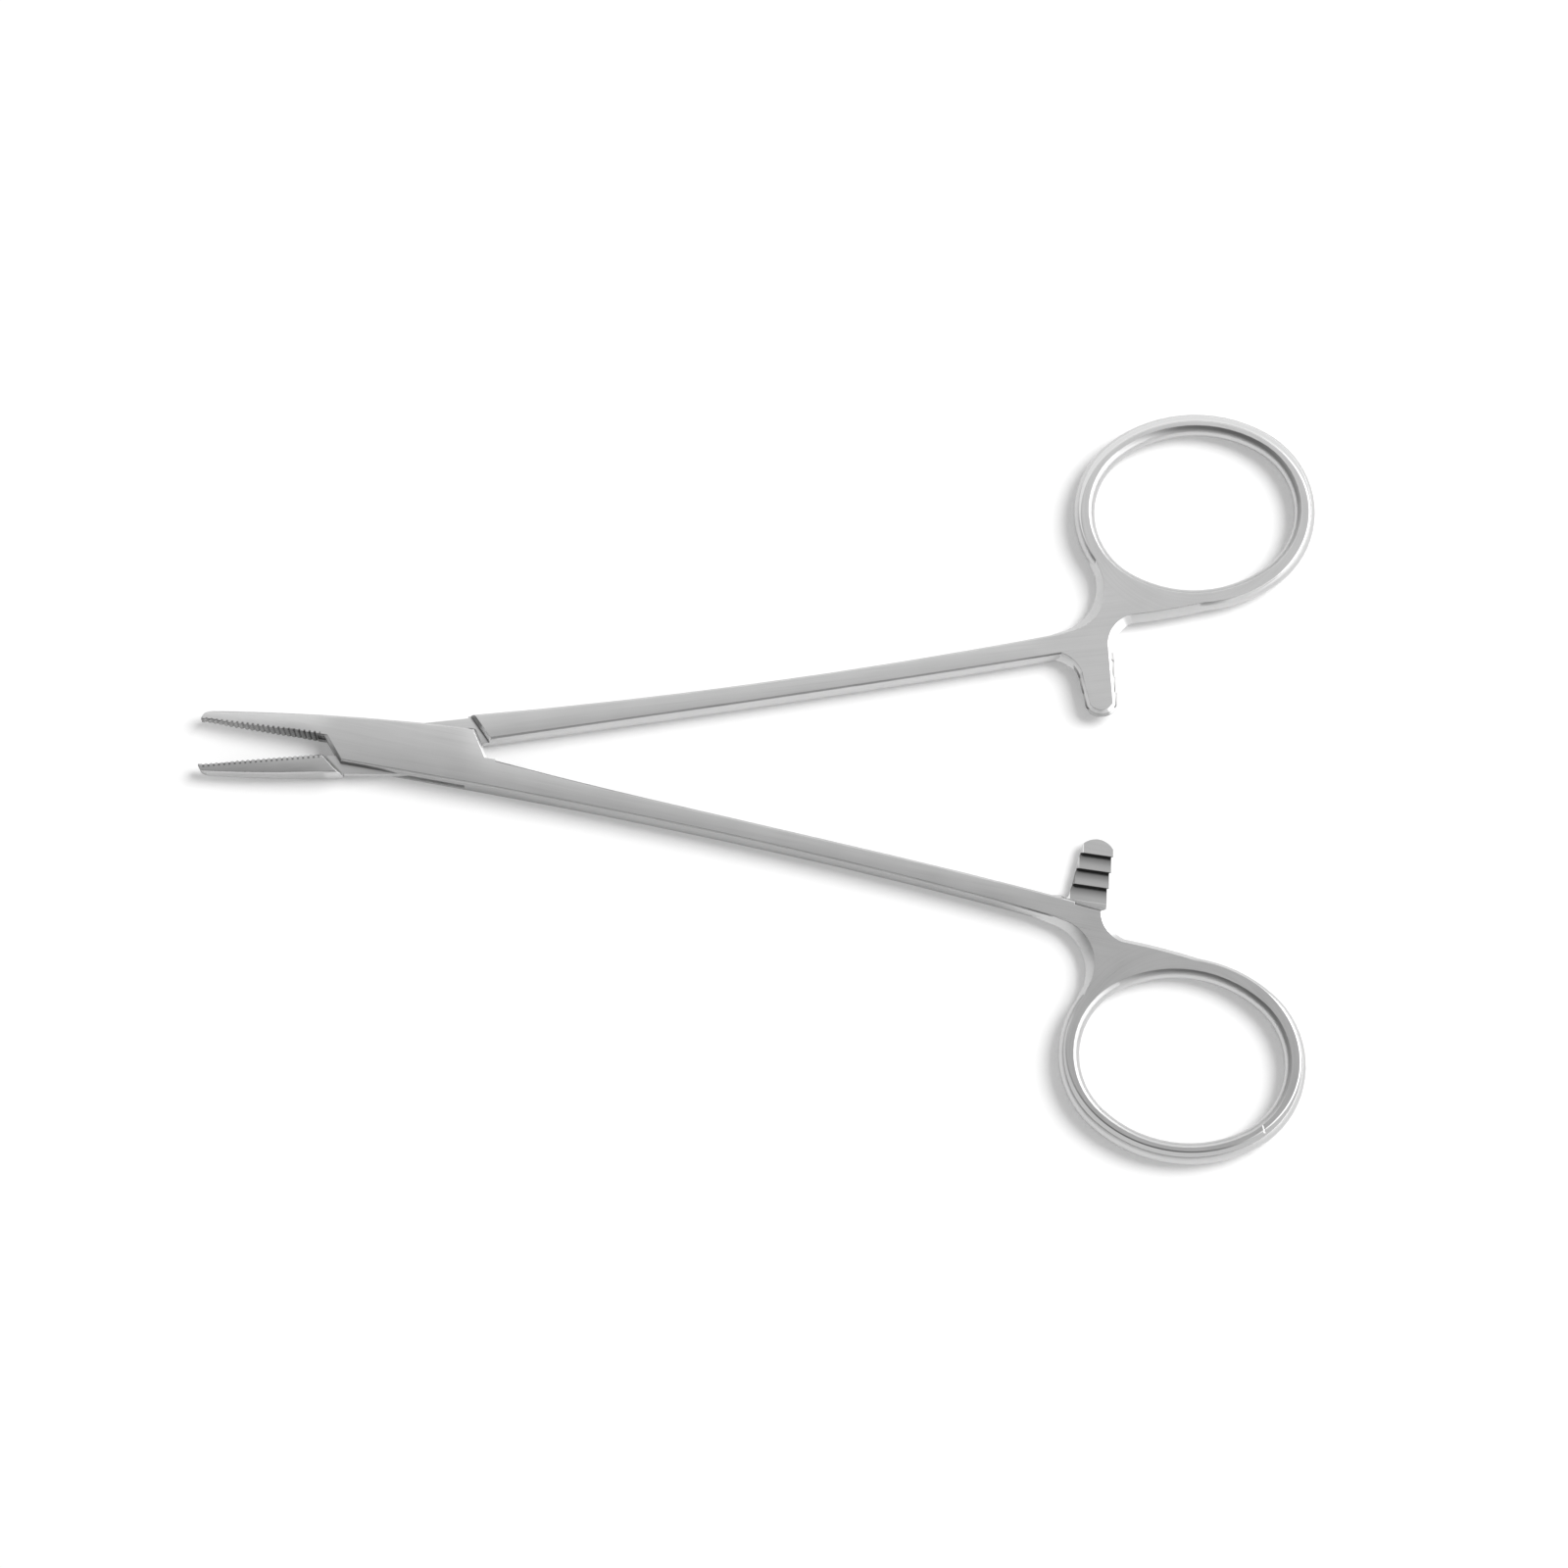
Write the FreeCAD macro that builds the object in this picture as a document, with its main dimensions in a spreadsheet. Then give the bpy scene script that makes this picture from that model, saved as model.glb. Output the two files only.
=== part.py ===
import FreeCAD, Part
import math
import os
import types
import Sketcher

# Box-lock needle holder: two crossed halves on one riveted pin.
# Each half is drawn as it lies when the jaws are shut, with its jaw towards -X and its ring
# towards +X, and is then turned about the pin to the opening at which the holder rests.
# Lengths are millimetres and angles are degrees. The pin axis is Z, through the origin.

driving = [
    ("rest_opening", 12.4, "angle between the two halves as they rest"),
    ("jaw_length", 28.0, "pin axis to jaw tip"),
    ("jaw_middle", 20.0, "pin axis to the middle section of the jaw"),
    ("jaw_tip_depth", 1.1, "jaw depth at the tip"),
    ("jaw_middle_depth", 2.0, "jaw depth at the middle section"),
    ("jaw_root_depth", 2.6, "jaw depth where it leaves the box"),
    ("jaw_tip_thickness", 1.6, "jaw height at the tip"),
    ("tongue_thickness", 3.9, "height of the tongue half beside the box"),
    ("jaw_bulge", 0.25, "how far the back of the jaw is rounded out"),
    ("nose_length", 1.1, "length of the rounded nose at the tip"),
    ("nose_bow", 0.33, "how far the nose is rounded out"),
    ("jaw_shift", 0.12, "how far the jaws meet to one side of the centre plane"),
    ("tip_gap", 0.03, "gap between the jaw tips when shut"),
    ("root_gap", 0.2, "gap between the jaw roots when shut"),
    ("tooth_pitch", 0.7, "spacing of the grooves across the jaw face"),
    ("tooth_depth", 0.25, "depth of the grooves in the jaw face"),
    ("tooth_land", 0.06, "flat left on top between two grooves"),
    ("row_pitch", 0.9, "spacing of the grooves along the jaw face"),
    ("tooth_rows", 5, "number of grooves along the jaw face"),
    ("box_front", 11.35, "pin axis to the front end of the box, on the centre plane"),
    ("box_rear", 10.65, "pin axis to the rear end of the box, on the centre plane"),
    ("front_lean", 39.0, "slant of the front end of the box"),
    ("rear_lean", 31.0, "slant of the rear end of the box"),
    ("front_half_width", 3.1, "half width of the box at its front end, away from the jaw"),
    ("middle_half_width", 3.45, "half width of the box at the pin"),
    ("rear_half_width", 3.85, "half width of the box at its rear end"),
    ("box_thickness", 4.2, "height of the box"),
    ("box_bulge", 0.15, "how far the sides of the box are rounded out"),
    ("edge_bevel", 0.2, "bevel along the long edges"),
    ("block_spare", 1.0, "how far the block is drawn past the ends of the box"),
    ("cut_spare", 1.0, "how far a cut is drawn past what it cuts"),
    ("end_bevel_run", 0.45, "bevel on the ends of the box and on the shoulders, along the holder"),
    ("end_bevel_drop", 0.7, "height of that bevel"),
    ("slot_height", 1.5, "height of the slot through the box"),
    ("slot_radius", 8.9, "radius of the slot about the pin"),
    ("tongue_play", 0.05, "clearance above and below the tongue"),
    ("tongue_end_play", 0.15, "clearance between the tongue and the ends of the slot"),
    ("tongue_inset", 0.2, "how far the sides of the tongue lie inside the box"),
    ("shoulder_gap", 0.15, "gap between the shoulders and the box when shut"),
    ("pin_diameter", 3.0, "diameter of the pin"),
    ("pin_play", 0.03, "clearance all round between the pin and the tongue"),
    ("shank_neck", 25.0, "pin axis to the neck section of the shank"),
    ("shank_middle", 55.0, "pin axis to the middle section of the shank"),
    ("shank_setback", 1.8, "how far the shank ends before the middle of the ratchet arm"),
    ("start_offset", 2.0, "centre plane to the middle of the shank at the box"),
    ("neck_offset", 3.0, "centre plane to the middle of the shank at the neck"),
    ("middle_offset", 5.3, "centre plane to the middle of the shank half way"),
    ("end_offset", 8.95, "centre plane to the middle of the shank at its end"),
    ("start_width", 3.7, "width of the shank at the box"),
    ("neck_width", 2.9, "width of the shank at the neck"),
    ("middle_width", 2.4, "width of the shank half way"),
    ("end_width", 2.9, "width of the shank at its end"),
    ("shoulder_overlap", 0.3, "how far jaw and shank reach past the shoulders of the tongue"),
    ("grip_thickness", 3.3, "height of the shank end, the ratchet root and the ring"),
    ("shank_bulge", 0.3, "how far the sides of the shank are rounded out"),
    ("ratchet_setback", 14.9, "middle of the ratchet arm to the middle of the ring"),
    ("ratchet_width", 4.9, "width of the ratchet arm"),
    ("ratchet_overlap", 1.65, "how far the arm passes the centre plane when shut"),
    ("ratchet_lead", 0.45, "how much further the arm of the box half reaches"),
    ("ratchet_base", 7.4, "centre plane to the step at the foot of the arm"),
    ("ratchet_slope", 25.0, "slant of the sides of the arm"),
    ("ratchet_clearance", 0.12, "height between the two rows of crests"),
    ("ratchet_pitch", 2.17, "spacing of the ratchet teeth"),
    ("ratchet_depth", 0.55, "depth of the ratchet teeth"),
    ("ratchet_first", 0.42, "centre plane to the first crest"),
    ("ratchet_play", 0.05, "how far the first crests pass each other when shut"),
    ("ratchet_teeth", 3, "number of ratchet teeth on each arm"),
    ("ring_reach", 106.7, "pin axis to the middle of the ring, along the centre plane"),
    ("ring_offset", 26.2, "centre plane to the middle of the ring"),
    ("ring_long", 14.75, "half length of the ring, at the middle of its band"),
    ("ring_short", 12.3, "half width of the ring, at the middle of its band"),
    ("ring_end_radius", 11.2, "radius of the ends of the ring, at the middle of its band"),
    ("ring_flat_in", 0.48, "width of the ring's flat faces inside the middle of its band"),
    ("ring_flat_out", 0.85, "width of the ring's flat faces outside the middle of its band"),
    ("ring_round_in", 0.85, "how far the inner side of the ring is rounded out"),
    ("ring_round_out", 0.6, "how far the outer side of the ring is rounded out"),
    ("root_setback", 7.8, "where the root begins on the shank, to the middle of the arm"),
    ("root_inset", 0.9, "how far the root starts inside the outline of the shank"),
    ("root_in", 0.93, "how far the root reaches inside the middle of the ring's band"),
    ("root_turn_west", 160, "angle from the ring's far end to where the root starts"),
    ("root_turn_east", 82, "angle from the ring's far end to where the root has run out"),
    ("throat_turn", 146, "angle from the ring's far end to the end of the hollow"),
    ("root_slant", 0.75, "how much narrower each side of the root is at its flat faces"),
    ("throat_setback", 3.4, "start of the hollow beside the ring, to the middle of the arm"),
    ("throat_drop", 0.25, "how far the hollow starts below the shank"),
    ("throat_depth", 1.5, "depth of the hollow between the shank and the ring"),
    ("throat_flare", 0.9, "how much deeper that hollow is at the flat faces"),
    ("throat_width", 2.2, "width of the root at the end of that hollow"),
    ("arm_fillet_run", 3.9, "length along the shank of the fillet beside the arm"),
    ("arm_fillet_rise", 3.1, "height of that fillet along the arm"),
    ("arm_fillet_depth", 0.75, "depth of that fillet"),
    ("arm_taper", 0.7, "how much narrower the arm gets towards its end"),
    ("arm_tip_bow", 1.45, "how far the end of the arm is rounded out"),
    ("arm_bevel", 0.6, "bevel on the jaws' side of the toothed face"),
    ("arm_foot_step", 0.5, "how much lower the foot of the arm is on the ring's side"),
    ("arm_foot_run", 1.2, "length of the slant from the shank up to the foot of the arm"),
    ("crook_reach", 2.9, "ratchet arm to the crook between the arm and the ring"),
    ("crook_drop", 3.85, "foot of the arm to the crook between the arm and the ring"),
    ("crook_depth", 0.75, "depth of the crook between the arm and the ring"),
]

document = FreeCAD.newDocument("needle_holder")
sheet = document.addObject("Spreadsheet::Sheet", "Sizes")
for row, (alias, value, meaning) in enumerate(driving, start=1):
    sheet.set(f"A{row}", meaning)
    sheet.set(f"B{row}", str(value))
    sheet.setAlias(f"B{row}", alias)
document.recompute()


class Size:
    # A number together with the formula that the document keeps for it.

    def __init__(self, value, formula):
        self.value = value
        self.formula = formula

    def combined(self, other, sign, value):
        other = asSize(other)
        return Size(value(self.value, other.value), f"({self.formula} {sign} {other.formula})")

    def __add__(self, other):
        return self.combined(other, "+", lambda a, b: a + b)

    def __sub__(self, other):
        return self.combined(other, "-", lambda a, b: a - b)

    def __mul__(self, other):
        return self.combined(other, "*", lambda a, b: a * b)

    def __truediv__(self, other):
        return self.combined(other, "/", lambda a, b: a / b)

    def __radd__(self, other):
        return asSize(other) + self

    def __rsub__(self, other):
        return asSize(other) - self

    def __rmul__(self, other):
        return asSize(other) * self

    def __neg__(self):
        return asSize(0) - self


def asSize(number):
    if isinstance(number, Size):
        return number
    return Size(float(number), f"({float(number)})")


def sine(angle):
    angle = asSize(angle)
    return Size(math.sin(math.radians(angle.value)), f"sin({angle.formula})")


def cosine(angle):
    angle = asSize(angle)
    return Size(math.cos(math.radians(angle.value)), f"cos({angle.formula})")


def squareRoot(number):
    return Size(math.sqrt(number.value), f"sqrt({number.formula})")


def wholeNumber(number):
    return Size(math.floor(number.value), f"floor({number.formula})")


def tangent(angle):
    return sine(angle) / cosine(angle)


size = types.SimpleNamespace(
    **{alias: Size(float(sheet.get(alias)), f"Sizes.{alias}") for alias, value, meaning in driving}
)

# Sizes that follow from the driving ones.
blockFront = size.box_front + size.block_spare
blockRear = size.box_rear + size.block_spare
tongueHeight = size.slot_height - 2 * size.tongue_play
tongueRadius = size.slot_radius - size.tongue_end_play
ratchetReach = size.ring_reach - size.ratchet_setback
ratchetWest = ratchetReach - size.ratchet_width / 2
ratchetEast = ratchetReach + size.ratchet_width / 2
shankEnd = ratchetReach - size.shank_setback
ringOutside = size.ring_flat_out + size.ring_round_out
rootSteps = 5  # straight lengths of the root's outline, hidden in the band of the ring


def basePlane(body, role):
    return next(item for item in body.Origin.OriginFeatures if item.Role == role)


def sketchOn(body, name, role, offset=None):
    sketch = body.newObject("Sketcher::SketchObject", name)
    sketch.AttachmentSupport = [(basePlane(body, role), "")]
    sketch.MapMode = "FlatFace"
    if offset is not None:
        sketch.setExpression(".AttachmentOffset.Base.z", offset.formula)
    return sketch


def pin(sketch, kind, edge, point, length):
    # Holds one coordinate of an edge's end at a length from the sketch's origin.
    index = sketch.addConstraint(Sketcher.Constraint(kind, -1, 1, edge, point, length.value))
    sketch.setExpression(f"Constraints[{index}]", length.formula)


def outline(sketch, corners):
    # Draws a closed outline. Each corner is x, y and how far the edge after it bows out.
    corners = [(asSize(x), asSize(y), asSize(bow)) for x, y, bow in corners]
    firstEdge = sketch.GeometryCount
    ends = []
    for (x, y, bow), (nextX, nextY, nextBow) in zip(corners, corners[1:] + corners[:1]):
        start = FreeCAD.Vector(x.value, y.value, 0)
        end = FreeCAD.Vector(nextX.value, nextY.value, 0)
        if bow.value == 0:
            edge = sketch.addGeometry(Part.LineSegment(start, end))
        else:
            out = FreeCAD.Vector(end.y - start.y, start.x - end.x, 0).normalize()
            edge = sketch.addGeometry(Part.Arc(start, (start + end) / 2 + out * bow.value, end))
        forward = sketch.getPoint(edge, 1).distanceToPoint(start) < 1e-6
        ends.append((edge, 1, 2) if forward else (edge, 2, 1))
    for (edge, first, last), (nextEdge, nextFirst, nextLast) in zip(ends, ends[1:] + ends[:1]):
        sketch.addConstraint(Sketcher.Constraint("Coincident", edge, last, nextEdge, nextFirst))
    for (edge, first, last), (x, y, bow) in zip(ends, corners):
        pin(sketch, "DistanceX", edge, first, x)
        pin(sketch, "DistanceY", edge, first, y)
        if bow.value != 0:
            nextX, nextY, nextBow = corners[(edge - firstEdge + 1) % len(corners)]
            chordSquared = (nextX - x) * (nextX - x) + (nextY - y) * (nextY - y)
            reach = bow if bow.value > 0 else -bow
            radius = (chordSquared / 4 + bow * bow) / (2 * reach)
            index = sketch.addConstraint(Sketcher.Constraint("Radius", edge, radius.value))
            sketch.setExpression(f"Constraints[{index}]", radius.formula)


def circle(sketch, radius):
    edge = sketch.addGeometry(
        Part.Circle(FreeCAD.Vector(0, 0, 0), FreeCAD.Vector(0, 0, 1), radius.value)
    )
    sketch.addConstraint(Sketcher.Constraint("Coincident", edge, 3, -1, 1))
    index = sketch.addConstraint(Sketcher.Constraint("Radius", edge, radius.value))
    sketch.setExpression(f"Constraints[{index}]", radius.formula)


def flipped(corners, side):
    # The outline for the half on the given side of the centre plane: 1 as drawn, -1 mirrored.
    return [(x, asSize(y) * side, asSize(bow) * side) for x, y, bow in corners]


def flippedAcross(corners, side):
    # The same for a section, whose first coordinate crosses the centre plane.
    return [(asSize(x) * side, y, asSize(bow) * side) for x, y, bow in corners]


def pad(body, name, sketch, length, sides="Symmetric", down=False, slope=None):
    feature = body.newObject("PartDesign::Pad", name)
    feature.Profile = sketch
    feature.SideType = sides
    feature.Reversed = down
    feature.setExpression("Length", length.formula)
    if slope is not None:
        feature.setExpression("TaperAngle", f"0 - {slope.formula}")
    return feature


def pocket(body, name, sketch, length, sides="Symmetric", up=False):
    feature = body.newObject("PartDesign::Pocket", name)
    feature.Profile = sketch
    feature.SideType = sides
    feature.Reversed = up
    feature.setExpression("Length", length.formula)
    return feature


def loft(body, name, sections, ruled=False, kind="AdditiveLoft"):
    feature = body.newObject("PartDesign::" + kind, name)
    feature.Profile = sections[0]
    feature.Sections = sections[1:]
    feature.Ruled = ruled
    return feature


def pattern(body, name, feature, axisRole, pitch, count, back=False):
    row = body.newObject("PartDesign::LinearPattern", name)
    row.Originals = [feature]
    row.Direction = (basePlane(body, axisRole), [""])
    row.Mode = "Spacing"
    row.Reversed = back
    row.setExpression("Offset", pitch.formula)
    row.setExpression("Occurrences", count.formula)
    body.Tip = row
    return row


def barrel(low, high, thickness, bulge, bevel):
    # A section with flat faces, rounded sides and bevelled edges.
    top = thickness / 2
    return [
        (low + bevel, -top, 0),
        (high - bevel, -top, 0),
        (high, bevel - top, bulge),
        (high, top - bevel, 0),
        (high - bevel, top, 0),
        (low + bevel, top, 0),
        (low, top - bevel, bulge),
        (low, bevel - top, 0),
    ]


def jawSection(face, depth, thickness, bulge):
    # A section with a flat face towards the other jaw and a rounded back.
    top = thickness / 2
    back = face + depth
    bevel = size.edge_bevel
    return [
        (face, -top, 0),
        (back - bevel, -top, 0),
        (back, bevel - top, bulge),
        (back, top - bevel, 0),
        (back - bevel, top, 0),
        (face, top, 0),
    ]


def section(body, name, distance, corners, side):
    sketch = sketchOn(body, name, "YZ_Plane", distance)
    outline(sketch, flippedAcross(corners, side))
    return sketch


def jawFaces(side):
    # Where the jaw face lies at the tip and at the root, seen from the half's own side.
    shift = side * size.jaw_shift
    return size.tip_gap / 2 - shift, size.root_gap / 2 - shift


def addBlock(body, side, inset, thickness, front, back):
    # The middle of a half, from the jaw root to the start of the shank.
    tipFace, rootFace = jawFaces(side)
    middle = size.middle_half_width
    rear = size.rear_half_width
    sections = []
    for name, distance, below, above in (
        ("block_front", -front, size.front_half_width, rootFace + size.jaw_root_depth),
        ("block_middle", asSize(0), middle, middle),
        ("block_rear", back, rear, rear),
    ):
        corners = barrel(inset - below, above - inset, thickness, size.box_bulge, size.edge_bevel)
        sections.append(section(body, name, distance, corners, side))
    loft(body, "block", sections)


def addJaw(body, side, start, thickness):
    tipFace, rootFace = jawFaces(side)
    middleShare = (size.jaw_length - size.jaw_middle) / (size.jaw_length - start)
    middleFace = tipFace + (rootFace - tipFace) * middleShare
    middleThickness = size.jaw_tip_thickness + (thickness - size.jaw_tip_thickness) * middleShare
    sections = []
    for name, distance, face, depth, height, bulge in (
        ("jaw_root", start, rootFace, size.jaw_root_depth, thickness, size.box_bulge),
        ("jaw_middle", size.jaw_middle, middleFace, size.jaw_middle_depth, middleThickness, None),
        ("jaw_tip", size.jaw_length, tipFace, size.jaw_tip_depth, size.jaw_tip_thickness, None),
    ):
        corners = jawSection(face, depth, height, bulge or size.jaw_bulge)
        sections.append(section(body, name, -distance, corners, side))
    loft(body, "jaw", sections)
    nose = sketchOn(body, "nose_outline", "XY_Plane")
    noseEnd = size.nose_length - size.jaw_length
    noseBack = tipFace + size.jaw_tip_depth + size.jaw_bulge
    corners = [
        (noseEnd, noseBack, size.nose_bow),
        (-size.jaw_length, tipFace, 0),
        (-size.jaw_length - size.cut_spare, tipFace, 0),
        (-size.jaw_length - size.cut_spare, 2 * noseBack, 0),
        (noseEnd, 2 * noseBack, 0),
    ]
    outline(nose, flipped(corners, side))
    pocket(body, "nose", nose, size.box_thickness)


def addShank(body, side, start, startThickness):
    sections = []
    for name, distance, offset, width, bulge in (
        ("shank_start", start, size.start_offset, size.start_width, size.box_bulge),
        ("shank_neck", size.shank_neck, size.neck_offset, size.neck_width, size.shank_bulge),
        ("shank_middle", size.shank_middle, size.middle_offset, size.middle_width, size.shank_bulge),
        ("shank_end", shankEnd, size.end_offset, size.end_width, size.shank_bulge),
    ):
        share = (distance - start) / (shankEnd - start)
        thickness = startThickness + (size.grip_thickness - startThickness) * share
        low = -offset - width / 2
        high = -offset + width / 2
        corners = barrel(low, high, thickness, bulge, size.edge_bevel)
        sections.append(section(body, name, distance, corners, side))
    loft(body, "shank", sections)


def ringPoint(degrees, outside):
    # A point beside the middle of the ring's band, counted from the ring's far end.
    x = size.ring_reach + (size.ring_long + outside) * cosine(degrees)
    y = -size.ring_offset + (size.ring_short + outside) * sine(degrees)
    return x, y


def addRing(body, side):
    # The band follows an oval of two wide arcs and two tighter end arcs that meet smoothly.
    endRadius = size.ring_end_radius
    long = size.ring_long - endRadius
    short = size.ring_short - endRadius
    wideRadius = (long * long + size.ring_short * size.ring_short - endRadius * endRadius) / (2 * short)
    share = endRadius / (wideRadius - endRadius)
    joinX = long * (1 + share)
    joinY = (wideRadius - size.ring_short) * share
    endBow = size.ring_long - joinX
    halfChord = squareRoot(endBow * endBow + joinY * joinY) / 2
    halfEndBow = endRadius - squareRoot(endRadius * endRadius - halfChord * halfChord)
    wideBow = size.ring_short - joinY
    path = sketchOn(body, "ring_path", "XY_Plane")
    corners = [
        (size.ring_reach + size.ring_long, -size.ring_offset, halfEndBow),
        (size.ring_reach + joinX, -size.ring_offset + joinY, wideBow),
        (size.ring_reach - joinX, -size.ring_offset + joinY, endBow),
        (size.ring_reach - joinX, -size.ring_offset - joinY, wideBow),
        (size.ring_reach + joinX, -size.ring_offset - joinY, halfEndBow),
    ]
    outline(path, flipped(corners, side))
    band = sketchOn(body, "ring_band", "XZ_Plane", side * size.ring_offset)
    near = size.ring_reach + size.ring_long - size.ring_flat_in
    far = size.ring_reach + size.ring_long + size.ring_flat_out
    top = size.grip_thickness / 2
    outline(
        band,
        [
            (near, -top, 0),
            (far, -top, size.ring_round_out),
            (far, top, 0),
            (near, top, size.ring_round_in),
        ],
    )
    ring = body.newObject("PartDesign::AdditivePipe", "ring")
    ring.Profile = band
    ring.Spine = path


def rootOutline(slant, flare):
    # The outline of the root where its sides have come in by the given slant.
    shankLow = -size.end_offset - size.end_width / 2 - size.shank_bulge + slant
    shankHigh = -size.end_offset + size.end_width / 2 + size.shank_bulge - slant
    footStep = size.arm_foot_step / 2
    armFoot = -size.ratchet_base - slant
    within = ringOutside - size.edge_bevel / 2 - slant
    rootReach = ratchetReach - size.root_setback
    throatReach = ratchetReach - size.throat_setback
    corners = [
        (rootReach, shankLow + size.root_inset, 0),
        (throatReach, shankLow - size.throat_drop, -size.throat_depth - flare),
        (*ringPoint(size.throat_turn, size.throat_width - slant), 0),
        (*ringPoint(size.root_turn_west, within), 0),
    ]
    for step in range(rootSteps + 1):
        turn = (size.root_turn_east - size.root_turn_west) * step / rootSteps
        corners.append((*ringPoint(size.root_turn_west + turn, slant - size.root_in), 0))
    corners += [
        (*ringPoint(size.root_turn_east, within), size.edge_bevel),
        (ratchetEast + size.crook_reach - slant / 2, armFoot - size.crook_drop, -size.crook_depth),
        (ratchetEast - slant, armFoot - footStep, 0),
        (ratchetWest, armFoot + footStep, 0),
        (ratchetWest - size.arm_foot_run, armFoot + footStep + size.arm_foot_run / 2, 0),
        (rootReach, shankHigh, 0),
    ]
    return corners


def addRoot(body, side):
    # The forged root that joins the shank, the ratchet arm and the ring.
    half = size.grip_thickness / 2
    levels = []
    flat = (size.root_slant, size.throat_flare)
    for name, height, (slant, flare) in (
        ("root_under", -half, flat),
        ("root_middle", asSize(0), (asSize(0), asSize(0))),
        ("root_top", half, flat),
    ):
        level = sketchOn(body, name, "XY_Plane", height)
        outline(level, flipped(rootOutline(slant, flare), side))
        levels.append(level)
    loft(body, "root", levels, True)


def addRatchet(body, side):
    # Half of the root's height carries the arm, and saw teeth are cut into its inner face.
    # The box half carries its teeth on top and the tongue half underneath.
    if side == 1:
        reach = size.ratchet_overlap + size.ratchet_lead
        run = size.arm_fillet_run / 2
        firstCrest = -size.ratchet_first
    else:
        reach = size.ratchet_overlap
        run = size.arm_fillet_run
        firstCrest = size.ratchet_first + size.ratchet_play
    foot = -size.ratchet_base
    fillet = foot + size.arm_fillet_rise * run / size.arm_fillet_run
    arm = sketchOn(body, "arm_outline", "XY_Plane")
    corners = [
        (ratchetWest - run, foot + size.arm_foot_step, -size.arm_fillet_depth),
        (ratchetWest - size.arm_taper / 2, fillet, 0),
        (ratchetWest + size.arm_taper / 2, reach - size.arm_tip_bow, size.arm_tip_bow),
        (ratchetEast, reach - size.arm_tip_bow, 0),
        (ratchetEast, foot - 2 * size.root_slant - size.cut_spare, 0),
        (ratchetWest - run, foot - 2 * size.root_slant - size.cut_spare, 0),
    ]
    outline(arm, flipped([(x, y, -1 * asSize(bow)) for x, y, bow in corners], side))
    half = size.grip_thickness / 2
    pad(body, "arm", arm, half, "One side", side == 1, size.ratchet_slope)
    crest = -side * size.ratchet_clearance / 2
    trough = crest - side * size.ratchet_depth
    start = ratchetWest - size.arm_foot_run
    width = ratchetEast - start + size.cut_spare
    step = foot + size.arm_foot_step
    skim = sketchOn(body, "arm_face", "YZ_Plane", start)
    corners = [
        (step, side * half, 0),
        (step, crest, 0),
        (reach + size.cut_spare, crest, 0),
        (reach + size.cut_spare, side * half, 0),
    ]
    outline(skim, flippedAcross(corners, side))
    pocket(body, "arm_skim", skim, width, "One side", True)
    lead = sketchOn(body, "lead_in", "YZ_Plane", start)
    corners = [
        (firstCrest, crest, 0),
        (firstCrest + size.ratchet_pitch, trough, 0),
        (firstCrest + 2 * size.ratchet_pitch, trough, 0),
        (firstCrest + 2 * size.ratchet_pitch, side * half, 0),
        (firstCrest, side * half, 0),
    ]
    outline(lead, flippedAcross(corners, side))
    pocket(body, "lead_in_cut", lead, width, "One side", True)
    levels = []
    lastCrest = firstCrest - (size.ratchet_teeth - 1) * size.ratchet_pitch
    for name, y in (("bevel_foot", lastCrest), ("bevel_tip", reach + size.cut_spare)):
        share = (y - fillet) / (reach - size.arm_tip_bow - fillet)
        west = ratchetWest + size.arm_taper * (share - 1 / 2)
        sketch = sketchOn(body, name, "XZ_Plane", -side * y)
        corners = [
            (west - size.arm_bevel, crest - 2 * side * size.arm_bevel, 0),
            (west + 2 * size.arm_bevel, crest + side * size.arm_bevel, 0),
            (west - size.arm_bevel, crest + side * size.arm_bevel, 0),
        ]
        outline(sketch, corners)
        levels.append(sketch)
    loft(body, "arm_bevel_cut", levels, True, "SubtractiveLoft")
    tooth = sketchOn(body, "tooth_outline", "YZ_Plane", start)
    corners = [
        (firstCrest, crest, 0),
        (firstCrest, trough, 0),
        (firstCrest - size.ratchet_pitch, crest, 0),
    ]
    outline(tooth, flippedAcross(corners, side))
    cut = pocket(body, "tooth", tooth, width, "One side", True)
    pattern(body, "teeth", cut, "Y_Axis", size.ratchet_pitch, size.ratchet_teeth, side == 1)


def addJawTeeth(body, side):
    # Grooves across and along the jaw face leave rows of small pyramids.
    tipFace, rootFace = jawFaces(side)
    across = sketchOn(body, "across_outline", "XY_Plane")
    first = size.tooth_pitch - size.jaw_length
    mouth = size.tooth_pitch - size.tooth_land
    corners = [
        (first - mouth, tipFace - size.tooth_depth, 0),
        (first + mouth, tipFace - size.tooth_depth, 0),
        (first, tipFace + size.tooth_depth, 0),
    ]
    outline(across, flipped(corners, side))
    cut = pocket(body, "across", across, size.box_thickness)
    faceLength = size.jaw_length - size.box_front - size.tooth_pitch
    count = wholeNumber(faceLength / size.tooth_pitch)
    pattern(body, "across_row", cut, "X_Axis", size.tooth_pitch, count)
    along = sketchOn(body, "along_outline", "YZ_Plane", -size.jaw_length - size.cut_spare)
    lowest = -size.row_pitch * (size.tooth_rows - 1) / 2
    corners = [
        (tipFace - size.tooth_depth, lowest - size.row_pitch / 2, 0),
        (tipFace + size.tooth_depth, lowest, 0),
        (tipFace - size.tooth_depth, lowest + size.row_pitch / 2, 0),
    ]
    outline(along, flippedAcross(corners, side))
    length = size.jaw_length + size.cut_spare - size.box_front
    cut = pocket(body, "along", along, length, "One side", True)
    pattern(body, "along_row", cut, "Z_Axis", size.row_pitch, size.tooth_rows)


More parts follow.
